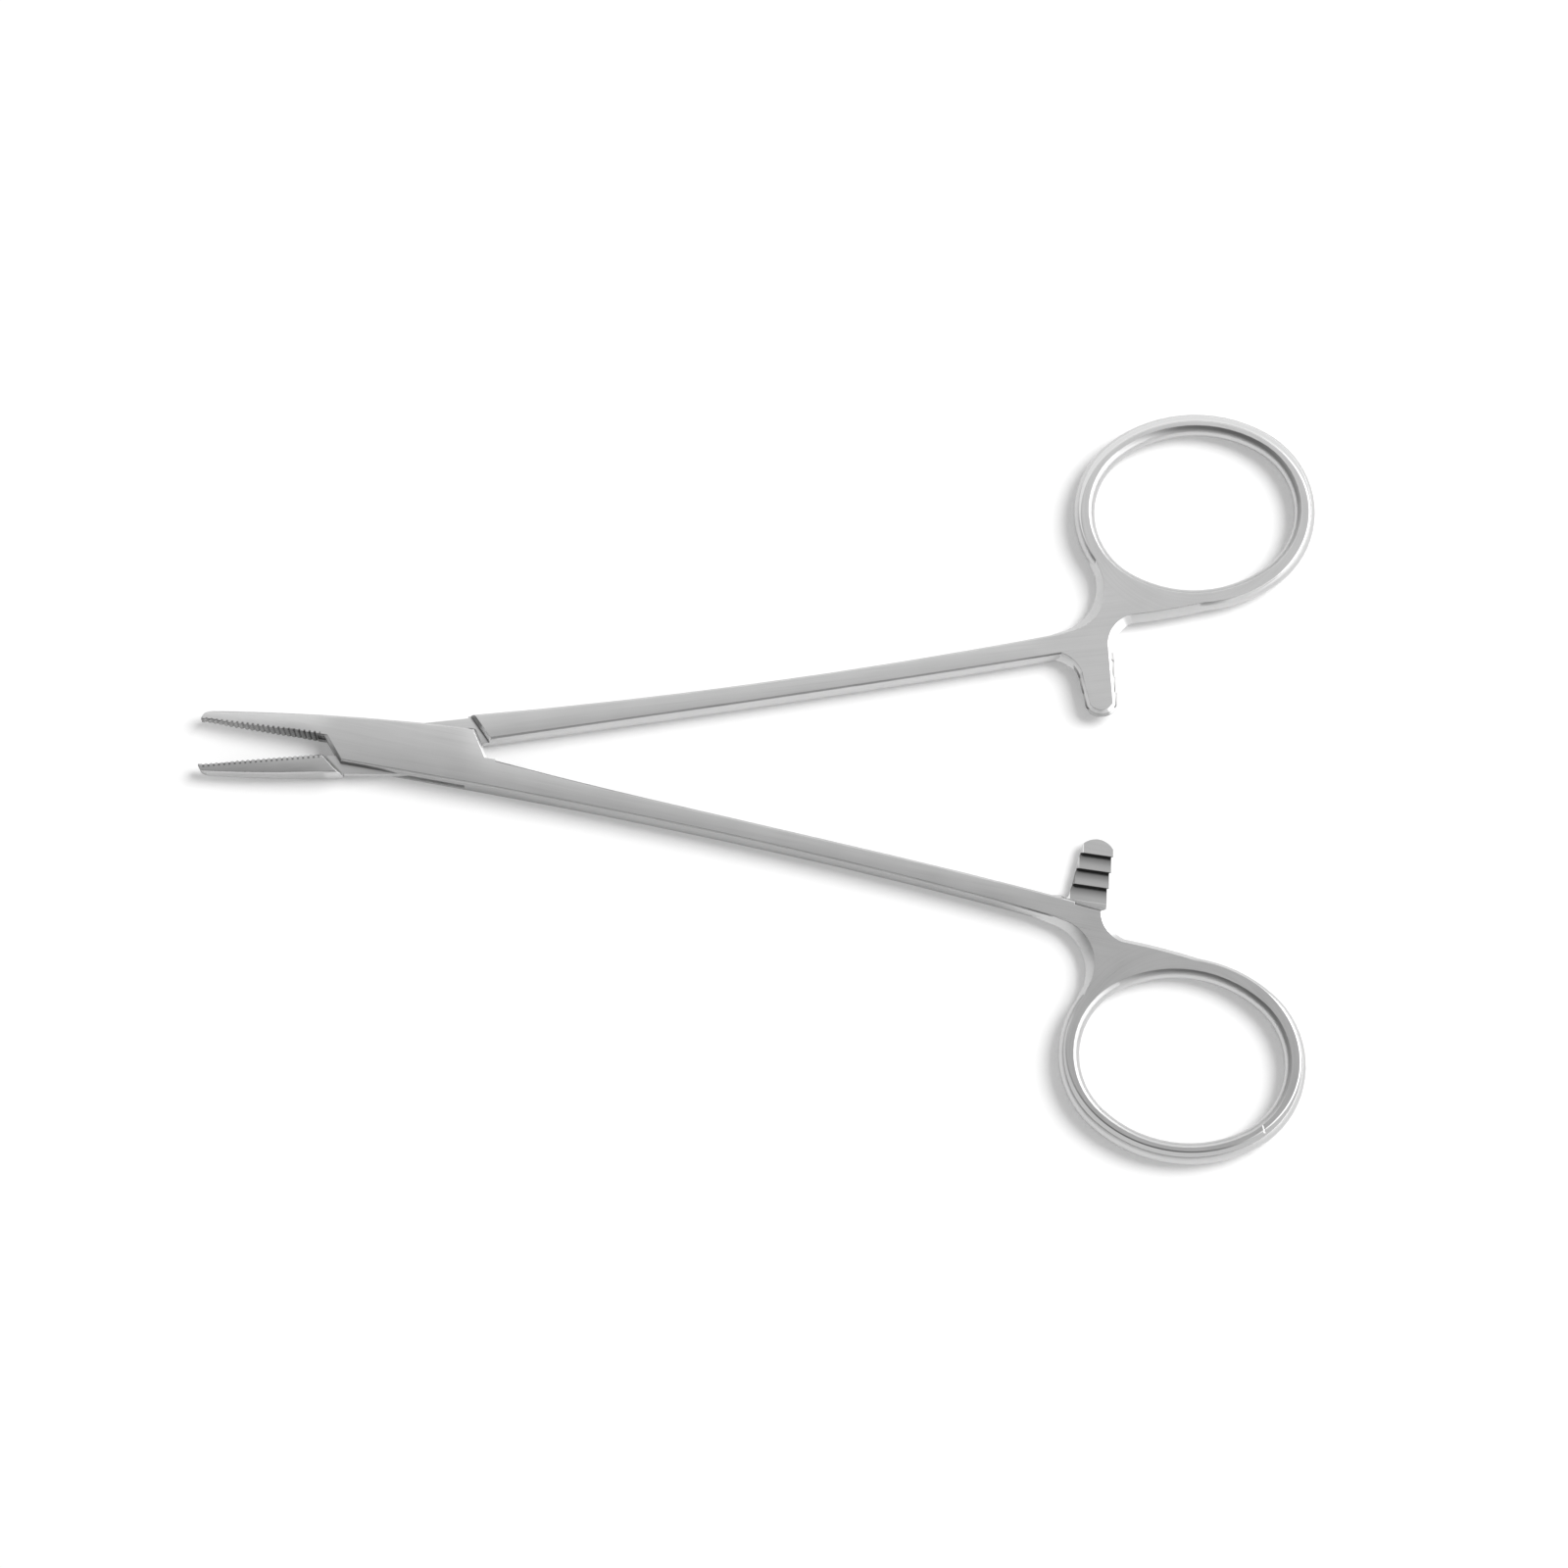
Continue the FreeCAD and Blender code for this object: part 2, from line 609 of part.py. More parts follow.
def cutPastEnd(body, side, name, frontSide):
    # Takes the box away beyond a slanted and bevelled end, on one side of the centre plane.
    if frontSide:
        end, lean, way, edge = size.box_front, size.front_lean, -1, jawFaces(side)[1]
    else:
        end, lean, way, edge = size.box_rear, size.rear_lean, 1, asSize(0)
    wide = size.rear_half_width + size.cut_spare
    far = blockFront + size.cut_spare
    half = size.box_thickness / 2
    levels = []
    for level, height, run in (
        ("lowest", -half - size.end_bevel_drop, 2 * size.end_bevel_run),
        ("low", size.end_bevel_drop - half, asSize(0)),
        ("high", half - size.end_bevel_drop, asSize(0)),
        ("highest", half + size.end_bevel_drop, 2 * size.end_bevel_run),
    ):
        near = end - run
        sketch = sketchOn(body, f"{name}_{level}", "XY_Plane", height)
        corners = [
            (way * near, edge, 0),
            (way * (near - tangent(lean) * wide), way * wide, 0),
            (way * far, way * wide, 0),
            (way * far, edge, 0),
        ]
        outline(sketch, flipped(corners, side))
        levels.append(sketch)
    loft(body, name, levels, True, "SubtractiveLoft")


def boreFor(body, radius):
    sketch = sketchOn(body, "bore_outline", "XY_Plane")
    circle(sketch, radius)
    pocket(body, "bore", sketch, 2 * size.box_thickness)


def placeHalf(body, side):
    # The halves turn from shut by half the rest opening each, the jaws apart.
    axis = FreeCAD.Vector(0, 0, -side)
    body.Placement = FreeCAD.Placement(
        FreeCAD.Vector(0, 0, size.box_thickness.value / 2),
        FreeCAD.Rotation(axis, size.rest_opening.value / 2),
    )
    body.setExpression(".Placement.Base.z", (size.box_thickness / 2).formula)
    body.setExpression(".Placement.Rotation.Angle", (size.rest_opening / 2).formula)


def makeBoxHalf():
    # Upper jaw, slotted box, lower shank, ratchet with its teeth on top, and lower ring.
    body = document.addObject("PartDesign::Body", "box_half")
    addBlock(body, 1, asSize(0), size.box_thickness, blockFront, blockRear)
    cutPastEnd(body, 1, "front_end", True)
    cutPastEnd(body, 1, "rear_end", False)
    addJaw(body, 1, blockFront, size.box_thickness)
    addShank(body, 1, blockRear, size.box_thickness)
    addRoot(body, 1)
    addRing(body, 1)
    addRatchet(body, 1)
    slot = sketchOn(body, "slot_outline", "XY_Plane")
    circle(slot, size.slot_radius)
    pocket(body, "slot", slot, size.slot_height)
    edge = size.root_gap / 2
    wide = size.rear_half_width + size.cut_spare
    for name, way, reach in (("slot_front", -1, blockFront), ("slot_rear", 1, blockRear)):
        sketch = sketchOn(body, name + "_outline", "XY_Plane")
        corners = [
            (asSize(0), way * -edge, 0),
            (way * reach, way * -edge, 0),
            (way * reach, way * wide, 0),
            (asSize(0), way * wide, 0),
        ]
        outline(sketch, corners)
        pocket(body, name, sketch, size.slot_height)
    boreFor(body, size.pin_diameter / 2)
    addJawTeeth(body, 1)
    placeHalf(body, 1)
    return body


def reliefOutline(run):
    # What the box covers when shut, as far as the shoulders, whose ends step back by run.
    wide = 2 * size.rear_half_width
    front = size.box_front + size.shoulder_gap + run
    rear = size.box_rear + size.shoulder_gap + run
    return [
        (-front - tangent(size.front_lean) * wide, wide, 0),
        (-front + tangent(size.front_lean) * wide, -wide, 0),
        (rear + tangent(size.rear_lean) * wide, -wide, 0),
        (rear - tangent(size.rear_lean) * wide, wide, 0),
    ]


def makeTongueHalf():
    # Lower jaw, tongue, upper shank, ratchet with its teeth underneath, and upper ring.
    body = document.addObject("PartDesign::Body", "tongue_half")
    reach = size.slot_radius + size.shoulder_overlap
    addBlock(body, -1, size.tongue_inset, size.tongue_thickness, reach, reach)
    for name, way in (("tongue_front", 1), ("tongue_rear", -1)):
        sketch = sketchOn(body, name + "_outline", "XY_Plane")
        far = 2 * size.box_front
        corners = [
            (-way * tongueRadius, asSize(0), 0),
            (-way * far, asSize(0), 0),
            (-way * far, way * far, 0),
            (asSize(0), way * far, 0),
            (asSize(0), way * tongueRadius, tongueRadius * (1 - cosine(45))),
        ]
        outline(sketch, corners)
        pocket(body, name, sketch, 2 * size.box_thickness)
    jawStart = size.box_front - tangent(size.front_lean) * size.jaw_root_depth
    shankStart = size.box_rear - tangent(size.rear_lean) * size.rear_half_width
    addJaw(body, -1, jawStart - size.shoulder_overlap, size.tongue_thickness)
    addShank(body, -1, shankStart - size.shoulder_overlap, size.tongue_thickness)
    half = size.tongue_thickness / 2
    for name, way in (("relief_above", 1), ("relief_below", -1)):
        levels = []
        for level, height, run in (
            ("inner", tongueHeight / 2, asSize(0)),
            ("middle", half - size.end_bevel_drop, asSize(0)),
            ("outer", half + size.end_bevel_drop, 2 * size.end_bevel_run),
        ):
            sketch = sketchOn(body, f"{name}_{level}", "XY_Plane", way * height)
            outline(sketch, reliefOutline(run))
            levels.append(sketch)
        loft(body, name, levels, True, "SubtractiveLoft")
    addRoot(body, -1)
    addRing(body, -1)
    addRatchet(body, -1)
    boreFor(body, size.pin_diameter / 2 + size.pin_play)
    addJawTeeth(body, -1)
    placeHalf(body, -1)
    return body


def makePin():
    # The pin is riveted flush and polished over, so its ends are plain.
    body = document.addObject("PartDesign::Body", "hinge_pin")
    sketch = sketchOn(body, "pin_outline", "XY_Plane")
    circle(sketch, size.pin_diameter / 2)
    pad(body, "rivet", sketch, size.box_thickness)
    body.setExpression(".Placement.Base.z", (size.box_thickness / 2).formula)
    return body


parts = [makeBoxHalf(), makeTongueHalf(), makePin()]
document.recompute()

for item in document.Objects:
    if "Invalid" in item.State or "Error" in item.State:
        raise RuntimeError(f"{item.Name} failed: {item.State}")
for part in parts:
    shape = part.Shape
    if shape.isNull() or not shape.isValid() or len(shape.Solids) != 1:
        raise RuntimeError(f"{part.Label} is not one valid solid")

os.makedirs("parts", exist_ok=True)
for part in parts:
    part.Shape.exportStep(f"parts/{part.Label}.step")
    print(part.Label, round(part.Shape.Volume, 2), part.Shape.BoundBox)
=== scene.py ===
import bpy
import math
from mathutils import Matrix, Vector

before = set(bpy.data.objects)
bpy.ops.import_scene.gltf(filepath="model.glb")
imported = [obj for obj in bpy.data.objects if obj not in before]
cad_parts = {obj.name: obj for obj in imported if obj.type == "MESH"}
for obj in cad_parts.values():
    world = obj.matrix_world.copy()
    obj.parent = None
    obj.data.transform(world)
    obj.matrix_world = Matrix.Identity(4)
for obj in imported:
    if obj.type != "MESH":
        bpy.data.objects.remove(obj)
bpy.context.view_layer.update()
print("frame loaded")

restOpening = 12.4  # degrees between the two halves as they lie
mm = 0.001
boxSide, tongueSide = -1, 1  # the side of the centre plane on which a half's shank lies

# Places on a half, counted with the jaws shut: x along the centre plane, y to the half's own side.
half = {
    "jawTip": -28 * mm,
    "jawRoot": -11.8 * mm,
    "shankStart": (9 * mm, 2 * mm),
    "shankSlope": 0.055,
    "shankCurve": 0.00038 / mm,
    "shankEnd": (79 * mm, 87 * mm),
    "ringCentre": (106.7 * mm, 26.2 * mm),
    "middleHeight": 2.1 * mm,
}


class Value:
    # A socket that Python's own operators can be used on.

    def __init__(self, graph, socket):
        self.graph = graph
        self.socket = socket

    def maths(self, operation, *others):
        values = dict(enumerate((self, *others)))
        return self.graph.node("Math", {"operation": operation}, values)

    def __add__(self, other):
        return self.maths("ADD", other)

    def __sub__(self, other):
        return self.maths("SUBTRACT", other)

    def __rsub__(self, other):
        return self.graph.node("Math", {"operation": "SUBTRACT"}, {0: other, 1: self})

    def __mul__(self, other):
        return self.maths("MULTIPLY", other)

    def __truediv__(self, other):
        return self.maths("DIVIDE", other)


class Graph:
    # The nodes of one material or of the world.

    def __init__(self, owner):
        owner.use_nodes = True
        self.tree = owner.node_tree
        self.tree.nodes.clear()

    def node(self, kind, settings=None, inputs=None, output=0):
        made = self.tree.nodes.new("ShaderNode" + kind)
        for name, value in (settings or {}).items():
            setattr(made, name, value)
        for name, value in (inputs or {}).items():
            if isinstance(value, Value):
                self.tree.links.new(value.socket, made.inputs[name])
            else:
                made.inputs[name].default_value = value
        if kind.startswith("Output"):
            return made
        return Value(self, made.outputs[output])

    def smooth(self, value, start, end, low=0.0, high=1.0):
        limits = {"Value": value, "From Min": start, "From Max": end, "To Min": low, "To Max": high}
        return self.node("MapRange", {"interpolation_type": "SMOOTHSTEP"}, limits)

    def mix(self, factor, first, second):
        inputs = {0: factor, 6: first, 7: second}
        return self.node("Mix", {"data_type": "RGBA"}, inputs, 2)

    def blend(self, factor, first, second):
        return factor * second + (1 - factor) * first

    def length(self, x, y):
        return (x * x + y * y).maths("SQRT")

    def join(self, x, y, z):
        return self.node("CombineXYZ", inputs={0: x, 1: y, 2: z})

    def noise(self, place, detail=2.0):
        return self.node("TexNoise", inputs={"Vector": place, "Scale": 1.0, "Detail": detail})

    def parts(self, vector):
        split = self.node("SeparateXYZ", inputs={0: vector}).socket.node
        return [Value(self, output) for output in split.outputs]


crown = {
    "tilt": 0.075,  # slope of the hand-finished faces at their long edges
    "boxHalfWidth": 3.5 * mm,
    "shankHalfWidth": 1.3 * mm,
    "ontoShank": (4 * mm, 12 * mm),
    "jawTilt": 0.34,
    "jawHalfWidth": 2.2 * mm,
    "jawMiddle": (-0.15 * mm, 0.7 * mm),  # at the tip and at the root
    "jawStart": -11.4 * mm,
    "ontoJaw": (-9.4 * mm, -15.4 * mm),
    "bowTilt": 0.052,  # slope of the slight bow over the whole width
    "bowWidth": 14 * mm,
    "sideRounding": 0.05 / mm,
}


def crownHeight(graph, x, y, side):
    # The faces are finished by hand, so they fall away a little towards their long edges.
    startX, startY = half["shankStart"]
    run = x - startX
    onShank = graph.smooth(x, *crown["ontoShank"])
    shank = run * run * half["shankCurve"] + run * half["shankSlope"] + startY
    onJaw = graph.smooth(x, *crown["ontoJaw"])
    jaw = graph.smooth(x, half["jawTip"], crown["jawStart"], *crown["jawMiddle"])
    across = y - (shank * onShank - jaw * onJaw) * side
    tilt = crown["tilt"]
    bend = graph.blend(onShank, tilt / crown["boxHalfWidth"], tilt / crown["shankHalfWidth"])
    bend = graph.blend(onJaw, bend, crown["jawTilt"] / crown["jawHalfWidth"])
    return across * across * bend * graph.smooth(x, *half["shankEnd"], 1, 0) / -2


def formHeight(graph, x, restY, z):
    # The whole holder is slightly bowed, and the sides of the rings are rounded.
    bow = (restY * restY + crown["bowWidth"] ** 2).maths("SQRT")
    fromMiddle = z - half["middleHeight"]
    rounding = graph.smooth(x, *half["shankEnd"]) * crown["sideRounding"]
    return bow * -crown["bowTilt"] - fromMiddle * fromMiddle * rounding


ring = {
    "size": (14.75 * mm, 12.3 * mm),  # half length and half width, at the middle of the band
    "flat": 0.85 * mm,  # how far the flat goes outside the middle of the band
    "stepWidth": 0.26 * mm,
    "stepHeight": 0.11 * mm,
    "bandEnd": (1.3, 1.2),  # as a share of the ring's size
    "rootTurn": 121,  # degrees from the ring's far end to the middle of the root
    "rootReach": (0.8, 0.62),  # cosines of the angles from there at which the band ends and starts
    "streakReach": (17.5 * mm, 15 * mm),  # within it the streaks run round
    "streakTurn": 14 * mm,
}


def outerBand(graph, x, y, side):
    # The flat of a ring steps down to a lighter outer band, widest away from the other ring.
    long, short = ring["size"]
    centreX, centreY = half["ringCentre"]
    shareX, shareY = (x - centreX) / long, (y - side * centreY) / short
    reach = graph.length(shareX, shareY)
    offset = reach * (reach - 1) / graph.length(shareX / long, shareY / short)
    start = (shareY * -side + 1) * (ring["flat"] / 2)
    turn = math.radians(ring["rootTurn"])
    atRoot = (shareX * math.cos(turn) - shareY * (side * math.sin(turn))) / reach
    clear = graph.smooth(atRoot, *ring["rootReach"]) * graph.smooth(reach, *ring["bandEnd"])
    return graph.smooth(offset, start, start + ring["stepWidth"]) * clear


ratchet = {
    "cornerShade": 0.95,
    "crestShade": 0.48,
    "crest": 0.9,  # as a share of the pitch
    "endShare": 0.8,  # how much of that shade the flat end of the arm has
    "first": {boxSide: 0.42 * mm, tongueSide: -0.47 * mm},
    "pitch": 2.17 * mm,
    "firstEdge": (0.03, 0.0),  # counted in teeth from the first one
    "lastEdge": (3.0, 3.2),
    "foot": (3.7, 3.5),
    "top": (0.0, 0.05 * mm),  # depth into the arm from the middle height
    "bottom": (1.0 * mm, 0.9 * mm),
    "west": 89.61 * mm,  # the arm's west side at the centre plane, and its slope
    "taper": 0.143,
    "westEdge": (-0.1 * mm, 0.0),
    "bevel": (0.74 * mm, 0.82 * mm),
}


def ratchetParts(graph, x, y, z, side):
    # Painted shade: each ratchet tooth is darkened in its corner and less so up its ramp. The bevel
    # beside it is kept out of that shade, for a painted highlight.
    smooth = graph.smooth
    own = y * side
    count = (own - ratchet["first"][side]) / ratchet["pitch"]
    onEnd = smooth(count, *ratchet["firstEdge"])
    ramp = count.maths("FRACT").maths("MAXIMUM", onEnd)
    ramp = ramp.maths("MAXIMUM", smooth(count, *ratchet["lastEdge"]))
    shade = smooth(ramp, 0, ratchet["crest"], ratchet["cornerShade"], ratchet["crestShade"])
    shade = shade * graph.blend(onEnd, 1, ratchet["endShare"])
    depth = (z - half["middleHeight"]) * side
    fromWest = x - ratchet["west"] + own * ratchet["taper"]
    inside = smooth(depth, *ratchet["top"]) * smooth(depth, *ratchet["bottom"])
    inside = inside * smooth(fromWest, *ratchet["westEdge"]) * smooth(count, *ratchet["foot"])
    offBevel = smooth(fromWest + depth, *ratchet["bevel"])
    return shade * inside * offBevel, inside * (1 - offBevel)


jaws = {
    "landShade": 0.5,
    "grooveShade": 1.0,
    "grooveDepth": (0.02 * mm, 0.2 * mm),
    "tipShare": 0.6,  # how much of that shade the jaws have at their tips
    "start": (-11.8 * mm, -11.9 * mm),
    "face": {boxSide: -0.1 * mm, tongueSide: 0.13 * mm},  # from the centre plane
    "faceEnd": (0.32 * mm, 0.27 * mm),
    "faceTurn": (0.8, 0.6),  # how far up a surface looks
    "pitch": 0.7 * mm,
    "grooveWidth": (0.2, 0.42),  # from the middle of a land, as a share of the pitch
    "edgeShade": 0.75,  # where the grooves run out on the flat sides
    "edgeEnd": {boxSide: (0.42 * mm, 0.27 * mm), tongueSide: (0.62 * mm, 0.47 * mm)},
}


def jawShade(graph, x, y, upward, onTop, side):
    # Painted shade: the faces of the jaws are darkened in their grooves and where they lie deep between
    # the jaws, and so are the grooves where they reach the flat tops.
    smooth = graph.smooth
    onJaw = smooth(x, *jaws["start"])
    fromFace = y * -side - jaws["face"][side]
    onFace = smooth(fromFace, *jaws["faceEnd"]) * smooth(upward, *jaws["faceTurn"]) * onJaw
    deep = smooth(x, half["jawTip"], half["jawRoot"], jaws["tipShare"], 1)
    faceShade = smooth(fromFace, *jaws["grooveDepth"], jaws["landShade"], jaws["grooveShade"])
    place = ((x - half["jawTip"]) / jaws["pitch"]).maths("FRACT")
    inGroove = smooth((place - 0.5).maths("ABSOLUTE"), *jaws["grooveWidth"]) * onJaw
    onEdge = smooth(fromFace, *jaws["edgeEnd"][side]) * onTop
    return faceShade * onFace * deep + inGroove * onEdge * jaws["edgeShade"]


nick = {
    "place": (114.0 * mm, -46.55 * mm, 0),
    "length": 1.35 * mm,
    "width": 0.3 * mm,
    "turn": 103.4,  # degrees
    "depth": 0.05 * mm,
    "colour": (1, 1, 1, 1),
}


def nickMask(graph, place):
    # A short bright nick across the flat top of the lower ring.
    turn = (0, 0, math.radians(nick["turn"]))
    inputs = {"Vector": place, "Location": nick["place"], "Rotation": turn}
    along, across = graph.parts(graph.node("Mapping", {"vector_type": "TEXTURE"}, inputs))[:2]
    inLength = graph.smooth(along.maths("ABSOLUTE"), nick["length"] / 2, nick["length"] / 4)
    inWidth = graph.smooth(across.maths("ABSOLUTE"), nick["width"] / 2, nick["width"] / 5)
    return inLength * inWidth


steel = {
    "colour": (0.6, 0.6, 0.6, 1),
    "darkColour": (0.52, 0.52, 0.52, 1),
    "brightColour": (0.78, 0.78, 0.78, 1),  # worn edges and the outer bands of the rings
    "facetHighlightColour": (0.84, 0.84, 0.84, 1),  # painted highlight on small facets that face the lamp
    "facetLift": 0.5,  # how far those facets are turned up
    "facetTurn": (0.4, 0.6),  # how far to the rings' end such a facet looks
    "facetEnd": (12.5 * mm, 10 * mm),  # distance from the centre plane where they end
    # painted shade for crevices, flanks, ratchet teeth and jaw faces
    "paintedShadeColour": (0.11, 0.11, 0.11, 1),
    "creviceDepth": 0.5 * mm,
    "creviceOpen": (0.9, 0.45),
    "flankShade": {boxSide: 0.42, tongueSide: 0.3},  # how much painted shade darkens the flanks
    "flankTurn": (0.7, 0.4),
    "flankEnd": (-10.8 * mm, -11.8 * mm),  # the tongue half has such a flank on its jaw only
    "topTurn": (0.8, 0.95),  # how far up a flat top looks
    "edgeRadius": 0.1 * mm,
    "edgeBend": (0.998, 0.94),  # cosine of the angle between an edge and the face beside it
    "pinReach": (1.8 * mm, 2.3 * mm),  # the edge of the flush pin stays hidden
    "wear": (0.3, 0.8),
    "wearSpots": (0.35, 0.6),
    "roughness": 0.31,
    "streakRoughness": 0.1,
    "mottleRoughness": 0.08,
    "edgeRoughness": 0.22,
    "fineWidth": 0.1 * mm,
    "fineShare": 0.9,
    "coarseWidth": 0.45 * mm,
    "coarseShare": 0.7,
    "mottleSize": 5 * mm,
    "mottleShare": 0.6,
    "mottleDetail": 3.0,
    "plainShare": 0.65,  # from the dark colour to the full one
    "grainLength": 11 * mm,
    "grainHeight": 0.0007 * mm,
}


def brushing(graph, x, y, z, side, width):
    # Streaks that run along the shank and round the ring.
    grain = steel["grainLength"]
    centreX, centreY = half["ringCentre"]
    fromX, fromY = x - centreX, y - side * centreY
    radius = graph.length(fromX, fromY)
    angle = fromY.maths("ARCTAN2", fromX)
    across = y - x * (side * half["shankSlope"])
    straight = graph.noise(graph.join(x / grain, across / width, z / width))
    turned = graph.noise(graph.join(angle * (ring["streakTurn"] / grain), radius / width, z / width))
    return graph.blend(graph.smooth(radius, *ring["streakReach"]), straight, turned)


def steelMaterial(name, side):
    # Satin steel, its edges softly broken, with painted shade in its crevices and on its flanks, and
    # painted highlights on facets that face the lamp.
    material = bpy.data.materials.new(name)
    graph = Graph(material)
    node, smooth, mix = graph.node, graph.smooth, graph.mix
    place = node("TexCoord", output="Object")
    restY = graph.parts(place)[1]
    turn = (0, 0, math.radians(-side * restOpening / 2))
    x, y, z = graph.parts(node("Mapping", inputs={"Vector": place, "Rotation": turn}))
    fine = brushing(graph, x, y, z, side, steel["fineWidth"])
    coarse = brushing(graph, x, y, z, side, steel["coarseWidth"])
    size = steel["mottleSize"]
    mottle = graph.noise(graph.join(x / size, y / size, z / size), steel["mottleDetail"])

    face = node("NewGeometry", output="Normal")
    faceParts = graph.parts(face)
    upward = faceParts[2].maths("ABSOLUTE")
    onTop = smooth(upward, *steel["topTurn"])
    broken = node("Bevel", {"samples": 6}, {"Radius": steel["edgeRadius"]})
    bend = node("VectorMath", {"operation": "DOT_PRODUCT"}, {0: broken, 1: face}, 1)
    offPin = smooth(graph.length(x, y), *steel["pinReach"])
    worn = smooth(bend, *steel["edgeBend"]) * offPin
    worn = worn * smooth(mottle, *steel["wearSpots"], *steel["wear"])
    openness = node(
        "AmbientOcclusion",
        {"samples": 8, "only_local": True},
        {"Distance": steel["creviceDepth"]},
        "AO",
    )
    # Painted shade on the ratchet teeth, and the bevels beside them for a painted highlight
    teeth, bevel = ratchetParts(graph, x, y, z, side)
    # Painted shade from the ambient occlusion in crevices, on the ratchet teeth and on the jaw faces
    creviceShade = smooth(openness, *steel["creviceOpen"]).maths("MAXIMUM", teeth)
    creviceShade = creviceShade.maths("MAXIMUM", jawShade(graph, x, y, upward, onTop, side))
    band = outerBand(graph, x, y, side)
    # Painted shade on the steep flanks up to the rings; on the tongue half only on its jaw
    flank = smooth(upward, *steel["flankTurn"]) * smooth(x, *half["shankEnd"], 1, 0)
    if side == tongueSide:
        flank = flank * smooth(x, *steel["flankEnd"])
    # Painted highlight on small facets that face the lamp, and on the ratchet bevels
    facet = smooth(faceParts[0], *steel["facetTurn"]) * smooth(y * side, *steel["facetEnd"])
    facet = facet.maths("MAXIMUM", bevel)

    streak = (coarse - 0.5) * steel["coarseShare"] + (fine - 0.5) * steel["fineShare"]
    streak = streak + (mottle - 0.5) * steel["mottleShare"] + steel["plainShare"]
    tone = mix(smooth(streak, 0, 1), steel["darkColour"], steel["colour"])
    tone = mix(band * onTop, tone, steel["brightColour"])
    # Painted shade on the flanks, a painted highlight on the facets, edge wear, then painted shade in
    # crevices
    tone = mix(flank * steel["flankShade"][side], tone, steel["paintedShadeColour"])
    tone = mix(facet, tone, steel["facetHighlightColour"])
    tone = mix(worn, tone, steel["brightColour"])
    tone = mix(creviceShade, tone, steel["paintedShadeColour"])
    roughness = (fine - 0.5) * steel["streakRoughness"] + (mottle - 0.5) * steel["mottleRoughness"]
    roughness = graph.blend(worn, roughness + steel["roughness"], steel["edgeRoughness"])

    height = crownHeight(graph, x, y, side) + formHeight(graph, x, restY, z)
    height = height + (fine + coarse) * steel["grainHeight"] - band * ring["stepHeight"]
    if side == boxSide:
        mark = nickMask(graph, place)
        height = height - mark * nick["depth"]
        tone = mix(mark, tone, nick["colour"])
    soft = graph.parts(node("Mix", {"data_type": "VECTOR"}, {0: offPin, 4: face, 5: broken}, 1))
    lifted = graph.join(soft[0], soft[1], soft[2] + facet * steel["facetLift"])
    lifted = node("VectorMath", {"operation": "NORMALIZE"}, {0: lifted})
    normal = node("Bump", inputs={"Strength": 1, "Distance": 1, "Height": height, "Normal": lifted})
    shader = node(
        "BsdfPrincipled",
        inputs={"Base Color": tone, "Metallic": 1.0, "Roughness": roughness, "Normal": normal},
    )
    node("OutputMaterial", inputs={"Surface": shader})
    return material


for nodeName, side in (("box_half", boxSide), ("tongue_half", tongueSide), ("hinge_pin", boxSide)):
    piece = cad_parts[nodeName]
    material = steelMaterial(nodeName + "Steel", side)
    for slot in piece.material_slots:
        slot.material = material
print("steel finished")

# Floor and light

studio = {
    "middle": (0.05, 0, 0),
    "floorSize": 8,
    "floorColour": (0.8, 0.8, 0.8, 1),
    "floorLift": 0.2,
    "ambient": 0.45,
    "keyFrom": (0.68, 0.26, 1.0),
    "keyDistance": 2.0,
    "keySize": 1.2,
    "keyPower": 35.0,
}

# How bright the steel sees the room on each side, and between which directions that changes.
glow = {
    "middle": 0.52,
    "north": 1.25,
    "northRange": (-0.1, 0.8),
    "southShade": 0.7,
    "southRange": (-0.1, -0.7),
    "southRise": (0.1, 0.45),
    "westShade": 0.5,
    "westRange": (-0.2, -0.8),
    "westRise": (0.7, 0.2),
    "east": 1.7,
    "eastRange": (0.3, 0.85),
}


def seenBy(graph, *kinds):
    # 1 for the kinds of ray named, and 0 for all others.
    rays = [graph.node("LightPath", output=f"Is {kind} Ray") for kind in kinds]
    return sum(rays[1:], rays[0]).maths("MINIMUM", 1.0)


def makeFloor():
    bpy.ops.object.select_all(action="DESELECT")
    bpy.ops.mesh.primitive_plane_add(size=studio["floorSize"], location=studio["middle"])
    bpy.ops.object.transform_apply(location=True, rotation=True, scale=True)
    floor = bpy.context.object
    floor.name = "floor"
    material = bpy.data.materials.new("paleFloor")
    graph = Graph(material)
    seen = seenBy(graph, "Camera", "Glossy", "Transmission")
    matt = graph.node("BsdfDiffuse", inputs={"Color": studio["floorColour"]})
    lift = graph.node("Emission", inputs={"Strength": seen * studio["floorLift"]})
    both = graph.node("AddShader", inputs={0: matt, 1: lift})
    graph.node("OutputMaterial", inputs={"Surface": both})
    floor.data.materials.append(material)


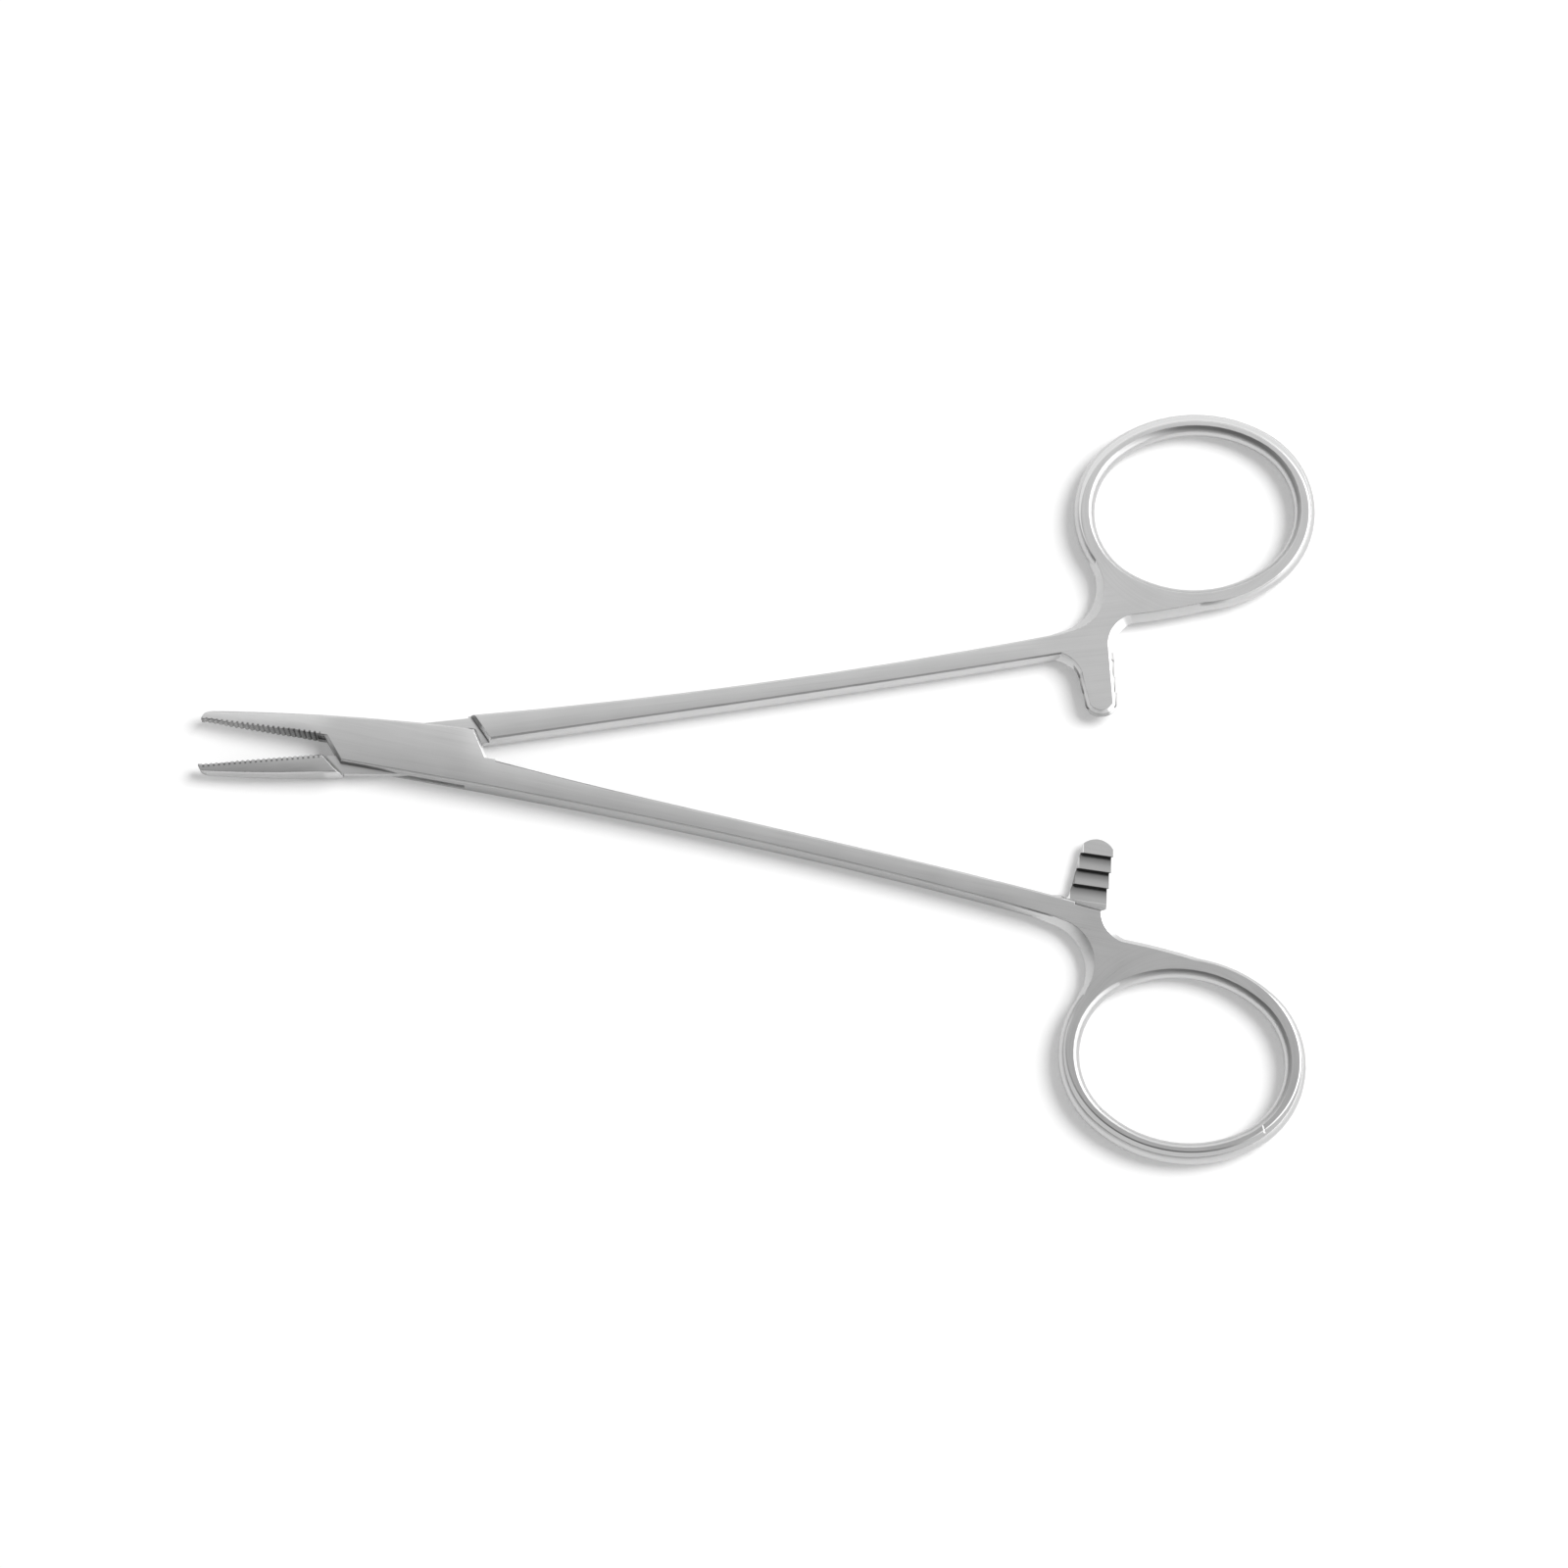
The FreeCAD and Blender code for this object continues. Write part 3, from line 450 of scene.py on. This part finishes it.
def makeRoom():
    # White behind the object. The steel sees the room brighter in the north and the east.
    world = bpy.data.worlds.new("room")
    bpy.context.scene.world = world
    graph = Graph(world)
    smooth = graph.smooth
    east, north, up = graph.parts(graph.node("TexCoord", output="Generated"))
    bright = smooth(north, *glow["northRange"], glow["middle"], glow["north"])
    south = smooth(north, *glow["southRange"]) * smooth(up, *glow["southRise"])
    west = smooth(east, *glow["westRange"]) * smooth(up, *glow["westRise"])
    bright = bright * (1 - south * glow["southShade"]) * (1 - west * glow["westShade"])
    bright = bright + smooth(east, *glow["eastRange"], 0, glow["east"])
    strength = seenBy(graph, "Camera", "Transmission") + seenBy(graph, "Glossy") * bright
    others = 1 - seenBy(graph, "Camera", "Transmission", "Glossy")
    strength = strength + others * studio["ambient"]
    light = graph.node("Background", inputs={"Color": (1, 1, 1, 1), "Strength": strength})
    graph.node("OutputWorld", inputs={"Surface": light})


def makeKey():
    data = bpy.data.lights.new("key", "AREA")
    data.shape = "DISK"
    data.size = studio["keySize"]
    data.energy = studio["keyPower"]
    lamp = bpy.data.objects.new("key", data)
    lamp.visible_glossy = False
    bpy.context.collection.objects.link(lamp)
    away = Vector(studio["keyFrom"]).normalized()
    lamp.location = Vector(studio["middle"]) + away * studio["keyDistance"]
    lamp.rotation_mode = "QUATERNION"
    lamp.rotation_quaternion = (-away).to_track_quat("-Z", "Y")


makeFloor()
makeRoom()
makeKey()
print("floor and light finished")

# Camera

cameraPlace = {
    "from": (57.25, -178.0, 653.4),  # mm
    "to": (49.82, -2.96, 3.9),
    "turn": 2.43,  # degrees that the picture's own X is turned from the frame's X
    "focal": 5200,  # in pixels of a picture 1600 wide
    "width": 1600,
    "sensor": 36,
    "clip": (0.01, 20),
}


def makeCamera():
    data = bpy.data.cameras.new("camera")
    data.sensor_width = cameraPlace["sensor"]
    data.lens = data.sensor_width * cameraPlace["focal"] / cameraPlace["width"]
    data.clip_start, data.clip_end = cameraPlace["clip"]
    camera = bpy.data.objects.new("camera", data)
    bpy.context.collection.objects.link(camera)
    start = Vector(cameraPlace["from"]) * mm
    forward = (Vector(cameraPlace["to"]) * mm - start).normalized()
    turn = math.radians(cameraPlace["turn"])
    across = Vector((math.cos(turn), math.sin(turn), 0))
    across = (across - forward * across.dot(forward)).normalized()
    up = across.cross(forward)
    facing = Matrix((across, up, -forward)).transposed().to_4x4()
    camera.matrix_world = Matrix.Translation(start) @ facing
    bpy.context.scene.camera = camera


makeCamera()
bpy.context.scene.view_settings.view_transform = "Standard"
print("camera finished")
